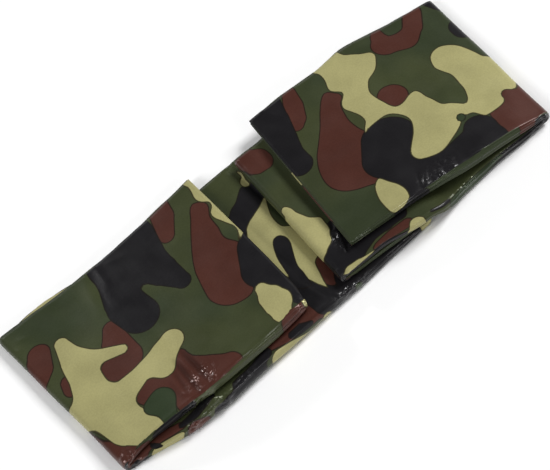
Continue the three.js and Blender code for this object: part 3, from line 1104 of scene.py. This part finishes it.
@dataclass
class FilmSheet:
    """A sheet of film that follows the strip through all its folds.

    Its mesh has a column of points at each column_step along the strip and a row at each
    leaf_step or roll_step round it. It is placed by a finer grid over the smooth film, and
    inner_calm is how much of its creases the innermost film loses.
    """

    name: str
    form: FilmForm
    layer: Layer
    thickness: float
    refinements: int = 0
    print_move: Pair = (0.0, 0.0)
    column_step: float = 4.15
    column_turn_steps: int = 8
    leaf_step: float = 4.25
    roll_step: float = 1.34
    fine_leaf_step: float = 2.0
    fine_roll_step: float = 0.4
    inner_calm: float = 0.9
    course: StripCourse = StripCourse(2.0, 12)
    artwork: CamouflagePrint = field(default_factory=CamouflagePrint)

    @property
    def length(self) -> float:
        """The film's flat length along the strip."""
        return float(self.course.sections().along[-1])

    def columns(self) -> np.ndarray:
        """The s of the unrefined mesh's columns of points."""
        return StripCourse(self.column_step, self.column_turn_steps).sections().along

    def rows(self, leaf_step: float, roll_step: float) -> np.ndarray:
        """Places round the strip, those steps apart on the leaves and on the near roll.

        Args:
            leaf_step: How far apart they are on the leaves.
            roll_step: How far apart they are on the near roll.

        Returns:
            The t of each place.
        """
        leaf, width = self.form.leaf, self.form.width
        roll_end = leaf + self.form.roll
        return np.concatenate([
            spread(0.0, leaf, leaf_step),
            spread(leaf, roll_end, roll_step),
            spread(roll_end, width, leaf_step),
            [width],
        ])

    def flat_sheet(self, columns: np.ndarray, rows: np.ndarray) -> bpy.types.Object:
        """A flat sheet at its own measures, not folded yet.

        Args:
            columns: The s of its columns of points.
            rows: The t of its rows of points.

        Returns:
            The sheet's object, with s and t in millimetres as x and y.
        """
        bpy.ops.mesh.primitive_grid_add(
            x_subdivisions=len(columns) - 1, y_subdivisions=len(rows) - 1, size=1.0, calc_uvs=True
        )
        sheet = bpy.context.object
        sheet.name = self.name
        sheet.data.name = self.name
        flat = self.numbers(sheet.data.vertices, "co") + 0.5
        flat[:, 0] = columns[np.rint(flat[:, 0] * (len(columns) - 1)).astype(int)]
        flat[:, 1] = rows[np.rint(flat[:, 1] * (len(rows) - 1)).astype(int)]
        flat[:, 2] = 0.0
        sheet.data.vertices.foreach_set("co", flat.ravel())
        for level in range(self.refinements):
            self.refine(sheet, level)
        return sheet

    @staticmethod
    def numbers(parts: bpy.types.bpy_prop_collection, name: str) -> np.ndarray:
        """A property with three numbers, read from all points or faces of a mesh.

        Args:
            parts: The points or faces.
            name: The property's name.

        Returns:
            Three numbers for each of them.
        """
        found = np.empty(len(parts) * 3)
        parts.foreach_get(name, found)
        return found.reshape(-1, 3)

    def refine(self, sheet: bpy.types.Object, level: int) -> None:
        """Cuts the faces where more detail is wanted into four.

        Args:
            sheet: The flat sheet.
            level: 0 for what shows from outside, 1 for narrow creases and crushed patches.
        """
        centres = self.numbers(sheet.data.polygons, "center")
        wanted = self.form.shows if level == 0 else self.form.detailed
        chosen = wanted(centres[:, 0], centres[:, 1])
        bpy.ops.object.mode_set(mode="EDIT")
        bpy.ops.mesh.select_mode(type="FACE")
        bpy.ops.mesh.select_all(action="DESELECT")
        bpy.ops.object.mode_set(mode="OBJECT")
        sheet.data.polygons.foreach_set("select", chosen)
        bpy.ops.object.mode_set(mode="EDIT")
        bpy.ops.mesh.subdivide(number_cuts=1)
        bpy.ops.object.mode_set(mode="OBJECT")

    def folded_places(
        self, along: np.ndarray, across: np.ndarray
    ) -> tuple[np.ndarray, np.ndarray]:
        """Where places of the film lie once it is folded and creased, in millimetres.

        Args:
            along: Each place's s.
            across: Each place's t.

        Returns:
            The places, and the directions that point out of the strip there.
        """
        strip, rows = self.course.sections(), self.rows(self.fine_leaf_step, self.fine_roll_step)
        smooth = self.form.points(strip, rows, self.layer)
        normal = np.cross(np.gradient(smooth, axis=1), np.gradient(smooth, axis=0))
        normal /= np.maximum(np.linalg.norm(normal, axis=2, keepdims=True), TINY)
        normal *= np.sign((normal[:, :1] * strip.facing[:, None, :]).sum(axis=2, keepdims=True))
        column, right = cells(strip.along, along)
        row, down = cells(rows, across)

        def between(grid: np.ndarray) -> np.ndarray:
            """The grid's values at the places.

            Args:
                grid: Values at the crossings of the strip's sections and the rows.

            Returns:
                The value at each place.
            """
            first = grid[column, row] * (1 - down) + grid[column, row + 1] * down
            last = grid[column + 1, row] * (1 - down) + grid[column + 1, row + 1] * down
            return first * (1 - right) + last * right

        outward = between(normal)
        outward /= np.maximum(np.linalg.norm(outward, axis=1, keepdims=True), TINY)
        lift = self.form.lift(along, across) * (1 - self.inner_calm * self.layer.depth)
        placed = between(smooth) + outward * lift[:, None]
        placed[:, 2] = np.maximum(placed[:, 2], 0.0)
        return placed, outward

    def fold(self) -> bpy.types.Object:
        """The folded sheet with its thickness, its flat measures as a UV map and its print.

        Returns:
            The finished sheet's object.
        """
        sheet = self.flat_sheet(self.columns(), self.rows(self.leaf_step, self.roll_step))
        mesh = sheet.data
        along, across, _ = self.numbers(mesh.vertices, "co").T
        placed, outward = self.folded_places(along, across)
        mesh.vertices.foreach_set("co", (placed * MM).ravel())
        self.lay_out_flat(mesh, along, across)
        self.dress_with_print(mesh, along, across)
        mesh.update()
        bpy.ops.object.mode_set(mode="EDIT")
        bpy.ops.mesh.select_all(action="SELECT")
        if self.faces_inward(mesh, outward):
            bpy.ops.mesh.flip_normals()
        bpy.ops.object.mode_set(mode="OBJECT")
        thicken = sheet.modifiers.new("film thickness", "SOLIDIFY")
        thicken.thickness = self.thickness * MM
        thicken.offset = -1.0
        bpy.ops.object.modifier_apply(modifier=thicken.name)
        bpy.ops.object.shade_smooth()
        return sheet

    def faces_inward(self, mesh: bpy.types.Mesh, outward: np.ndarray) -> bool:
        """Whether the sheet's faces point into the strip instead of out of it."""
        first = np.array([face.vertices[0] for face in mesh.polygons])
        return float((self.numbers(mesh.polygons, "normal") * outward[first]).sum()) < 0

    def lay_out_flat(self, mesh: bpy.types.Mesh, along: np.ndarray, across: np.ndarray) -> None:
        """Gives the mesh a UV map of the film's own flat measures, in metres.

        Args:
            mesh: The sheet's mesh.
            along: Each point's s.
            across: Each point's t.
        """
        corners = np.empty(len(mesh.loops), dtype=int)
        mesh.loops.foreach_get("vertex_index", corners)
        flat = np.stack([along[corners], across[corners]], axis=1) * MM
        mesh.uv_layers[0].uv.foreach_set("vector", flat.ravel())

    def dress_with_print(
        self, mesh: bpy.types.Mesh, along: np.ndarray, across: np.ndarray
    ) -> None:
        """Stores how deep each point lies in each ink's patches, how crushed the film is, and how
        much painted shade it gets in a narrow trough.

        Args:
            mesh: The sheet's mesh.
            along: Each point's s.
            across: Each point's t.
        """
        s, t = along + self.print_move[0], across + self.print_move[1]
        depths = self.artwork.depths(s, t, read_off(SHOULDER_ROWS, along))
        values = {ink.value: depth for ink, depth in depths.items()}
        values[CRUSH] = self.form.crush(along, across)
        values[PAINTED_CREASE_SHADE] = self.form.furrow(along, across)
        for name, value in values.items():
            attribute = mesh.attributes.new(name, "FLOAT", "POINT")
            attribute.data.foreach_set("value", value)


def linear(red: int, green: int, blue: int) -> tuple[float, float, float, float]:
    """A screen colour given from 0 to 255 as the linear colour that materials take.

    Args:
        red: The screen colour's red.
        green: Its green.
        blue: Its blue.

    Returns:
        The linear colour by the screens' standard curve, with full opacity.
    """
    parts = (c / 255 for c in (red, green, blue))
    return (*(c / 12.92 if c <= 0.04045 else ((c + 0.055) / 1.055) ** 2.4 for c in parts), 1.0)


class NodeDesk:
    """A material's node tree with short calls for the nodes that the finishes use."""

    RAMP_ENDS = ("From Min", "From Max", "To Min", "To Max")
    # A mix node's sockets for colours: the share and both colours in, and the mixture out.
    MIX_INPUTS = (0, 6, 7)
    MIX_RESULT = 2

    def __init__(self, name: str) -> None:
        """Starts a material with that name and only its shader and output.

        Args:
            name: The material's name.
        """
        self.material = bpy.data.materials.new(name)
        self.material.use_nodes = True
        self.tree = self.material.node_tree
        self.shader = self.tree.nodes["Principled BSDF"]

    def add(
        self, kind: str, inputs: dict[str | int, object], **settings: object
    ) -> bpy.types.Node:
        """Adds a node.

        Args:
            kind: The node's type.
            inputs: For each input a value, or the output that feeds it.
            settings: The node's own settings.

        Returns:
            The node.
        """
        node = self.tree.nodes.new(kind)
        for name, value in settings.items():
            setattr(node, name, value)
        for name, value in inputs.items():
            self.feed(node.inputs[name], value)
        return node

    def feed(self, socket: bpy.types.NodeSocket, value: object) -> None:
        """Links an output to a socket, or sets the socket's own value.

        Args:
            socket: The socket.
            value: The output that feeds it, or its value.
        """
        if isinstance(value, bpy.types.NodeSocket):
            self.tree.links.new(value, socket)
        else:
            socket.default_value = value

    def attribute(self, name: str) -> bpy.types.NodeSocket:
        """One of the film's own number attributes."""
        return self.add("ShaderNodeAttribute", {}, attribute_name=name).outputs["Fac"]

    def ramp(self, value: object, given: Pair, wanted: Pair) -> bpy.types.NodeSocket:
        """A smooth change between the wanted values while the value crosses the given ones.

        Args:
            value: The value that changes.
            given: Two values for it to cross.
            wanted: What comes out at those two, and past them.

        Returns:
            The changed value.
        """
        inputs = {"Value": value, **dict(zip(self.RAMP_ENDS, (*given, *wanted)))}
        node = self.add("ShaderNodeMapRange", inputs, interpolation_type="SMOOTHSTEP")
        return node.outputs["Result"]

    def math(self, operation: str, first: object, second: object = 0.0) -> bpy.types.NodeSocket:
        """A sum, product or other simple operation of two values."""
        node = self.add("ShaderNodeMath", {0: first, 1: second}, operation=operation)
        return node.outputs["Value"]

    def mix(self, share: object, first: object, second: object) -> bpy.types.NodeSocket:
        """A mixture of two colours.

        Args:
            share: The second colour's share, from 0 to 1.
            first: The first colour.
            second: The second colour.

        Returns:
            The mixture.
        """
        node = self.add("ShaderNodeMix", {}, data_type="RGBA", blend_type="MIX")
        for place, value in zip(self.MIX_INPUTS, (share, first, second)):
            self.feed(node.inputs[place], value)
        return node.outputs[self.MIX_RESULT]

    def brightened(self, colour: object, value: object) -> bpy.types.NodeSocket:
        """A colour with its brightness multiplied by the value."""
        node = self.add("ShaderNodeHueSaturation", {"Color": colour, "Value": value})
        return node.outputs["Color"]

    def noise(self, place: object, scale: float, detail: float) -> bpy.types.NodeSocket:
        """Smooth noise with that many bumps a metre."""
        inputs = {"Vector": place, "Scale": scale, "Detail": detail}
        return self.add("ShaderNodeTexNoise", inputs).outputs["Fac"]


@dataclass(frozen=True)
class NoiseTone:
    """Smooth noise, with the stretch of its values that is spread over the wanted ones."""

    scale: float
    detail: float
    given: Pair
    wanted: Pair

    def build(self, desk: NodeDesk, place: object) -> bpy.types.NodeSocket:
        """The noise's wanted values at each place."""
        return desk.ramp(desk.noise(place, self.scale, self.detail), self.given, self.wanted)


@dataclass(frozen=True)
class FilmFinish:
    """Thin printed plastic film: four inks under a satin gloss, softly creased all over.

    inks gives each ink's own colour and the colour of the rim round its patches, and rim_fade
    how far from a patch's outline the rim begins and ends to fade. A value that begins with
    crushed holds where the film is fully crushed. smoothed_span and crushed_span say how
    crushed the film is where roughness, or gloss and coat, begin and end to change.
    """

    name: str = "printed_film"
    ground: tuple[int, int, int] = (57, 62, 39)
    shade: tuple[int, int, int] = (47, 54, 36)
    inks: tuple[tuple[Ink, tuple[int, int, int], tuple[int, int, int]], ...] = (
        (Ink.BROWN, (70, 40, 33), (34, 24, 18)),
        (Ink.BLACK, (25, 24, 26), (24, 20, 17)),
        (Ink.TAN, (154, 149, 103), (44, 41, 25)),
        (Ink.LEAF_GREEN, (44, 54, 36), (30, 32, 20)),
        (Ink.TOP_BLACK, (25, 24, 26), (24, 20, 17)),
    )
    rim_fade: Pair = (0.18, 0.54)
    rim_strength: float = 0.92
    blur: float = 0.12
    shading: NoiseTone = NoiseTone(14.0, 2.0, (0.42, 0.62), (0.0, 1.0))
    tone: NoiseTone = NoiseTone(38.0, 4.0, (0.3, 0.7), (0.9, 1.08))
    grain: NoiseTone = NoiseTone(900.0, 2.0, (0.35, 0.65), (0.95, 1.04))
    # How dark the painted shade makes the colour at the bottom of a narrow trough.
    furrow_tone: float = 0.62
    roughness: NoiseTone = NoiseTone(60.0, 5.0, (0.3, 0.75), (0.29, 0.46))
    smoothed_span: Pair = (0.0, 0.9)
    crushed_roughness: float = 0.72
    crushed_span: Pair = (0.1, 1.0)
    specular: float = 0.28
    crushed_specular: float = 0.8
    tint_share: float = 0.65
    tint_brightness: float = 9.0
    coat: float = 0.12
    crushed_coat: float = 0.2
    coat_roughness: float = 0.07
    streak_stretch: Triple = (1.0, 0.16, 1.0)
    streak_scale: float = 150.0
    streak_detail: float = 2.5
    streak_share: float = 0.75
    dimple_scale: float = 420.0
    dimple_detail: float = 3.0
    facet_scale: float = 300.0
    facet_height: float = 3.0
    bump_strength: float = 0.35
    bump_distance: float = 0.0006

    def printed(self, desk: NodeDesk, flat: object) -> bpy.types.NodeSocket:
        """The print's colour from the film's ink attributes.

        Args:
            desk: The material's node tree.
            flat: The film's flat measures.

        Returns:
            The colour.
        """
        patches = self.shading.build(desk, flat)
        colour = desk.mix(patches, linear(*self.ground), linear(*self.shade))
        for ink, fill, rim in self.inks:
            depth = desk.attribute(ink.value)
            inside = desk.ramp(depth, (-self.blur, self.blur), (0.0, 1.0))
            away = desk.math("ABSOLUTE", depth)
            line = desk.ramp(away, self.rim_fade, (self.rim_strength, 0.0))
            colour = desk.mix(inside, colour, linear(*fill))
            colour = desk.mix(line, colour, linear(*rim))
        # Painted shade: the colour is darkened in narrow troughs, where the crease lies in shade.
        furrow = desk.ramp(desk.attribute(PAINTED_CREASE_SHADE), (0.0, 1.0), (1.0, self.furrow_tone))
        tone = desk.math("MULTIPLY", self.tone.build(desk, flat), furrow)
        return desk.brightened(colour, desk.math("MULTIPLY", tone, self.grain.build(desk, flat)))

    def relief(self, desk: NodeDesk, flat: object, crushed: object) -> bpy.types.NodeSocket:
        """The fine creasing: streaks and dimples all over, and facets where the film is crushed.

        Args:
            desk: The material's node tree.
            flat: The film's flat measures.
            crushed: How crushed the film is.

        Returns:
            The shader's normal.
        """
        drawn = desk.add("ShaderNodeMapping", {"Vector": flat, "Scale": self.streak_stretch})
        streaks = desk.noise(drawn.outputs["Vector"], self.streak_scale, self.streak_detail)
        dimples = desk.noise(flat, self.dimple_scale, self.dimple_detail)
        facets = desk.add(
            "ShaderNodeTexVoronoi", {"Vector": flat, "Scale": self.facet_scale},
            feature="DISTANCE_TO_EDGE",
        ).outputs["Distance"]
        height = desk.math(
            "ADD",
            desk.math("MULTIPLY", streaks, self.streak_share),
            desk.math("MULTIPLY", dimples, 1.0 - self.streak_share),
        )
        raised = desk.math("MULTIPLY", crushed, desk.math("MULTIPLY", facets, self.facet_height))
        bump = desk.add("ShaderNodeBump", {
            "Strength": self.bump_strength,
            "Distance": self.bump_distance,
            "Height": desk.math("ADD", height, raised),
        })
        return bump.outputs["Normal"]

    def build(self) -> bpy.types.Material:
        """The film's material.

        Returns:
            The material, with its colour, gloss and relief.
        """
        desk = NodeDesk(self.name)
        flat = desk.add("ShaderNodeTexCoord", {}).outputs["UV"]
        shader = desk.shader.inputs
        colour = self.printed(desk, flat)
        bright = desk.brightened(colour, self.tint_brightness)
        crushed = desk.attribute(CRUSH)
        smoothing = desk.ramp(crushed, self.smoothed_span, (1.0, self.crushed_roughness))
        rough = desk.math("MULTIPLY", self.roughness.build(desk, flat), smoothing)
        gloss = desk.ramp(crushed, self.crushed_span, (self.specular, self.crushed_specular))
        coat = desk.ramp(crushed, self.crushed_span, (self.coat, self.crushed_coat))
        desk.feed(shader["Base Color"], colour)
        desk.feed(shader["Roughness"], rough)
        desk.feed(shader["Specular IOR Level"], gloss)
        desk.feed(shader["Specular Tint"], desk.mix(self.tint_share, WHITE, bright))
        desk.feed(shader["Coat Weight"], coat)
        shader["Coat Roughness"].default_value = self.coat_roughness
        desk.feed(shader["Normal"], self.relief(desk, flat, crushed))
        return desk.material


@dataclass(frozen=True)
class FloorFinish:
    """A plain pale matte floor with the faintest unevenness."""

    name: str = "pale_floor"
    colour: tuple[int, int, int] = (246, 246, 246)
    tone: NoiseTone = NoiseTone(3.0, 3.0, (0.3, 0.7), (0.99, 1.01))
    roughness: float = 0.8
    specular: float = 0.2

    def build(self) -> bpy.types.Material:
        """The floor's material.

        Returns:
            The material.
        """
        desk = NodeDesk(self.name)
        place = desk.add("ShaderNodeTexCoord", {}).outputs["Object"]
        colour = desk.brightened(linear(*self.colour), self.tone.build(desk, place))
        desk.feed(desk.shader.inputs["Base Color"], colour)
        desk.shader.inputs["Roughness"].default_value = self.roughness
        desk.shader.inputs["Specular IOR Level"].default_value = self.specular
        return desk.material


@dataclass(frozen=True)
class SoftLight:
    """A square studio light: where it hangs, and its side and power."""

    name: str
    place: Triple
    side: float
    power: float

    def hang(self) -> None:
        """Hangs the light, turned towards the bag."""
        bpy.ops.object.light_add(type="AREA", location=self.place)
        lamp = bpy.context.object
        lamp.name = self.name
        lamp.data.size = self.side
        lamp.data.energy = self.power
        lamp.rotation_euler = (-Vector(self.place)).to_track_quat("-Z", "Y").to_euler()


@dataclass(frozen=True)
class Studio:
    """A plain pale floor under soft white light, with a pale horizon and a dim ceiling."""

    lights: tuple[SoftLight, ...] = (
        SoftLight("left light", (-1.9, -0.2, 1.5), 1.0, 28.0),
        SoftLight("front light", (0.3, -2.0, 1.15), 0.4, 7.0),
        SoftLight("right light", (2.2, 0.1, 1.95), 1.1, 78.0),
        SoftLight("glint light", (-0.38, 1.86, 1.0), 0.22, 8.0),
    )
    floor_size: float = 6.0
    floor_gap: float = 0.15
    horizon: float = 0.75
    ceiling: float = 0.09
    horizon_fade: Pair = (0.05, 0.5)

    def surroundings(self) -> bpy.types.World:
        """The pale horizon and dim ceiling round the studio.

        Returns:
            The world.
        """
        world = bpy.data.worlds.new("studio")
        world.use_nodes = True
        tree = world.node_tree
        way = tree.nodes.new("ShaderNodeTexCoord")
        parts = tree.nodes.new("ShaderNodeSeparateXYZ")
        fall = tree.nodes.new("ShaderNodeMapRange")
        fall.interpolation_type = "SMOOTHSTEP"
        ends = (*self.horizon_fade, self.horizon, self.ceiling)
        for name, value in zip(NodeDesk.RAMP_ENDS, ends):
            fall.inputs[name].default_value = value
        tree.links.new(way.outputs["Generated"], parts.inputs["Vector"])
        tree.links.new(parts.outputs["Z"], fall.inputs["Value"])
        background = tree.nodes["Background"]
        background.inputs["Color"].default_value = WHITE
        tree.links.new(fall.outputs["Result"], background.inputs["Strength"])
        return world

    def build(self) -> None:
        """Lays the floor, hangs the lights and sets the surroundings."""
        below = (0.0, 0.0, -self.floor_gap * MM)
        bpy.ops.mesh.primitive_plane_add(size=self.floor_size, location=below)
        floor = bpy.context.object
        floor.name = "floor"
        floor.data.materials.append(FloorFinish().build())
        for light in self.lights:
            light.hang()
        bpy.context.scene.world = self.surroundings()
        bpy.context.scene.view_settings.view_transform = "Standard"


@dataclass(frozen=True)
class StudioCamera:
    """The camera, above the bag and a little to its left, turned about its own line of sight."""

    elevation: float = 57.5
    azimuth: float = -20.2
    roll: float = 23.2
    distance: float = 1.006
    target: Triple = (-0.0068, 0.0005, 0.0)
    focal_pixels: float = 1700.0
    frame_width: float = 550.0
    sensor: float = 36.0

    def place(self) -> None:
        """Adds the camera and makes it the scene's."""
        rise, round_z, turn = (math.radians(a) for a in (self.elevation, self.azimuth, self.roll))
        back = Vector((
            math.sin(round_z) * math.cos(rise),
            -math.cos(round_z) * math.cos(rise),
            math.sin(rise),
        ))
        right = Vector((math.cos(round_z), math.sin(round_z), 0.0))
        up = back.cross(right)
        side = right * math.cos(turn) - up * math.sin(turn)
        head = right * math.sin(turn) + up * math.cos(turn)
        bpy.ops.object.camera_add()
        camera = bpy.context.object
        camera.name = "camera"
        camera.data.sensor_width = self.sensor
        camera.data.lens = self.focal_pixels * self.sensor / self.frame_width
        axes = Matrix((side, head, back)).transposed().to_4x4()
        camera.matrix_world = Matrix.Translation(Vector(self.target) + back * self.distance) @ axes
        bpy.context.scene.camera = camera


TROUGH, RIDGE, PINCH = CreaseForm.TROUGH, CreaseForm.RIDGE, CreaseForm.PINCH


def pleat(form: CreaseForm, height: float, reach: float, *places: Pair) -> tuple[Crease, ...]:
    """A long crease through several places, as a row of short ones that run into each other."""
    pairs = zip(places[:-1], places[1:])
    return tuple(Crease(form, first, last, height, reach) for first, last in pairs)


# The pleats that run along the near roll.
PLEATS = (
    *pleat(RIDGE, 0.22, 0.8, (2, 119.3), (30, 118.8), (66, 119.6), (100, 119), (136, 119.6)),
    *pleat(TROUGH, 0.35, 0.9, (0, 122), (40, 121.4), (80, 122.8), (120, 121.6), (142, 122.4)),
    *pleat(PINCH, 0.35, 0.8, (4, 125), (50, 124.4), (92, 125.8), (140, 125)),
    *pleat(
        TROUGH, 0.4, 0.9,
        (150, 131), (192, 130), (232, 132), (270, 131.4), (302, 130.4), (350, 131),
    ),
    *pleat(PINCH, 0.35, 0.9, (150, 127.4), (200, 126.4), (250, 128), (300, 127.2), (350, 127.8)),
    *pleat(RIDGE, 0.25, 0.9, (160, 134), (215, 133.4), (288, 134.2)),
    *pleat(TROUGH, 0.4, 0.9, (442, 131), (500, 130), (550, 131.4), (582, 130.6)),
    *pleat(PINCH, 0.35, 0.9, (440, 127.4), (505, 126.8), (548, 127.8), (582, 127)),
    *pleat(RIDGE, 0.25, 0.9, (445, 134), (510, 133.4), (575, 134)),
    *pleat(TROUGH, 0.35, 0.9, (588, 121.4), (640, 120.8), (690, 121.6), (722, 121.2)),
    *pleat(PINCH, 0.35, 0.8, (588, 124), (650, 124.4), (722, 123.8)),
)

# All creases: pleats, then those of the flap, the middle and the right block.
CREASES = (
    *PLEATS,
    Crease(TROUGH, (72.6, 90), (72.6, 118), 0.9, 2.2),
    Crease(RIDGE, (75.4, 95), (75.6, 117), 0.35, 1.8),
    Crease(TROUGH, (79.2, 92), (81, 120), 0.8, 1.9),
    Crease(TROUGH, (83.4, 97), (86, 115), 0.5, 1.8),
    Crease(RIDGE, (87, 100), (88, 118), 0.28, 2.2),
    Crease(TROUGH, (90, 100), (91, 116), 0.3, 2.2),
    Crease(RIDGE, (79.9, 111.5), (76.7, 115.5), 0.6, 1.0),
    Crease(RIDGE, (70.8, 119.5), (66.8, 116.6), 0.7, 1.1),
    Crease(RIDGE, (84, 122.4), (65, 122.4), 0.5, 0.9),
    Crease(RIDGE, (88.4, 113.6), (84.6, 117.6), 0.6, 1.0),
    Crease(TROUGH, (76, 62), (75.5, 90), 0.35, 4.0),
    Crease(RIDGE, (84, 2), (90, 30), 0.4, 3.2),
    Crease(TROUGH, (79.5, 2), (84.5, 30), 0.35, 2.6),
    Crease(RIDGE, (67, 4), (56, 10.5), 0.35, 2.4),
    Crease(RIDGE, (74, 2), (76, 19), 0.3, 1.8),
    Crease(RIDGE, (134, 9), (129.5, 12.2), 0.4, 1.2),
    Crease(RIDGE, (137.6, 13.5), (137, 17.5), 0.4, 1.1),
    Crease(TROUGH, (104, 3), (110, 60), 0.5, 7.0),
    Crease(RIDGE, (30, 20), (44, 100), 0.5, 12.0),
    Crease(TROUGH, (118, 70), (136, 96), 0.45, 6.0),
    Crease(TROUGH, (287, 205), (292, 165), 0.3, 3.2),
    Crease(RIDGE, (302.4, 250), (301.6, 160), 0.8, 4.2),
    Crease(TROUGH, (292.6, 214), (292, 158), 0.5, 2.6),
    Crease(TROUGH, (311.6, 250), (314.5, 144), 1.5, 2.6),
    Crease(RIDGE, (427.6, 240), (427.6, 152), 0.35, 2.4),
    Crease(TROUGH, (442, 250), (442, 150), 1.7, 6.6),
    Crease(RIDGE, (440, 161), (438, 150), 0.6, 1.6),
    Crease(RIDGE, (437.5, 149), (433.6, 145), 0.55, 1.4),
    Crease(TROUGH, (441.5, 156), (436, 142), 0.4, 1.8),
    Crease(RIDGE, (308.5, 252), (314, 249), 0.4, 1.4),
    Crease(RIDGE, (287.5, 156), (291, 136), 0.45, 1.6),
    Crease(RIDGE, (293, 143), (301, 128), 0.45, 1.8),
    Crease(RIDGE, (296, 150), (305, 140), 0.3, 1.6),
    Crease(RIDGE, (669.6, 111.6), (674, 120.4), 0.6, 1.1),
    Crease(RIDGE, (665.8, 108), (669, 112.5), 0.25, 1.1),
    Crease(RIDGE, (661.2, 115.4), (664, 121.4), 0.6, 1.1),
    Crease(RIDGE, (653.2, 116.6), (656, 121.2), 0.6, 1.2),
    Crease(RIDGE, (643, 117.6), (632.5, 119.4), 0.6, 1.3),
    Crease(TROUGH, (672, 108), (678, 121), 0.35, 1.6),
    Crease(TROUGH, (658, 110), (661, 121), 0.3, 1.6),
    Crease(TROUGH, (716, 8), (706, 24), 0.3, 3.0),
    Crease(RIDGE, (712, 2), (704, 14), 0.25, 2.6),
    Crease(RIDGE, (696, 120), (722, 118.5), 0.25, 1.6),
    Crease(TROUGH, (640, 4), (612, 40), 0.3, 9.0),
    Crease(TROUGH, (700, 60), (660, 112), 0.25, 9.0),
)

CRUMPLES = (
    Crumple((137, 120), (9, 11), 1.0, 5.0, 11),
    Crumple((149, 127), (10, 12), 0.9, 5.2, 12),
    Crumple((74, 114), (15, 10), 0.26, 6.4, 13),
    Crumple((84, 126), (17, 7), 1.0, 7.0, 14),
    Crumple((3, 122), (8, 11), 0.6, 4.2, 15),
    Crumple((188, 127), (9, 9), 0.9, 5.0, 16),
    Crumple((206, 131), (18, 10), 1.2, 7.4, 17),
    Crumple((225, 132), (16, 5), 0.3, 5.0, 18),
    Crumple((310, 129), (24, 8), 0.5, 4.6, 19),
    Crumple((345, 130), (16, 6), 0.25, 6.0, 20),
    Crumple((424, 131), (8, 12), 0.7, 3.8, 21),
    Crumple((440, 156), (11, 16), 0.8, 5.6, 22),
    Crumple((512, 130), (14, 7), 0.5, 6.0, 23),
    Crumple((545, 130), (18, 5), 0.3, 7.0, 24),
    Crumple((580, 126), (20, 12), 0.7, 5.4, 25),
    Crumple((663, 115), (18, 9), 0.32, 5.0, 26),
    Crumple((718, 124), (9, 9), 0.35, 4.2, 27),
    Crumple((312, 249), (8, 6), 0.35, 4.0, 28),
)


@dataclass
class SleepingBag:
    """The whole bag: its printed film, and the inner folds that show at its open sides."""

    node: str = "folded_bag"
    slot: str = "printed_film"
    film_thickness: float = 0.25
    form: FilmForm = field(default_factory=lambda: FilmForm(creases=CREASES, crumples=CRUMPLES))

    def inner_film(self, name: str, layer: Layer, print_move: Pair) -> FilmSheet:
        """A film inside the fold, with an unrefined mesh.

        Args:
            name: The film's name.
            layer: Its layer in the fold.
            print_move: How far its print is moved along and round the strip.

        Returns:
            The film.
        """
        return FilmSheet(
            name, self.form, layer, self.film_thickness,
            print_move=print_move, column_step=3.0, roll_step=2.0,
        )

    def sheets(self) -> list[FilmSheet]:
        """The bag's films.

        Returns:
            The films from the outside in.
        """
        return [
            FilmSheet("outer_film", self.form, Layer(), self.film_thickness, refinements=2),
            self.inner_film("second_film", Layer(0.42, -0.7, 0.9), (61.0, -14.0)),
            self.inner_film("third_film", Layer(0.74, 1.1, 1.8), (-83.0, 9.0)),
        ]

    def build(self) -> None:
        """Builds and dresses all of the bag's pieces."""
        finish = FilmFinish().build()
        for sheet in self.sheets():
            piece = sheet.fold()
            piece.data.materials.append(finish)
            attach(piece, "root")
            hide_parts(self.node)
            sheet.length * MM
            LOG.info("%s: %d faces", piece.name, len(piece.data.polygons))


def main() -> None:
    """Builds the bag in its frame, with the studio round it."""
    logging.basicConfig(level=logging.INFO, format="%(name)s: %(message)s")
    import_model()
    bpy.ops.object.select_all(action="DESELECT")
    StudioCamera().place()
    Studio().build()
    SleepingBag().build()


if __name__ == "__main__":
    main()
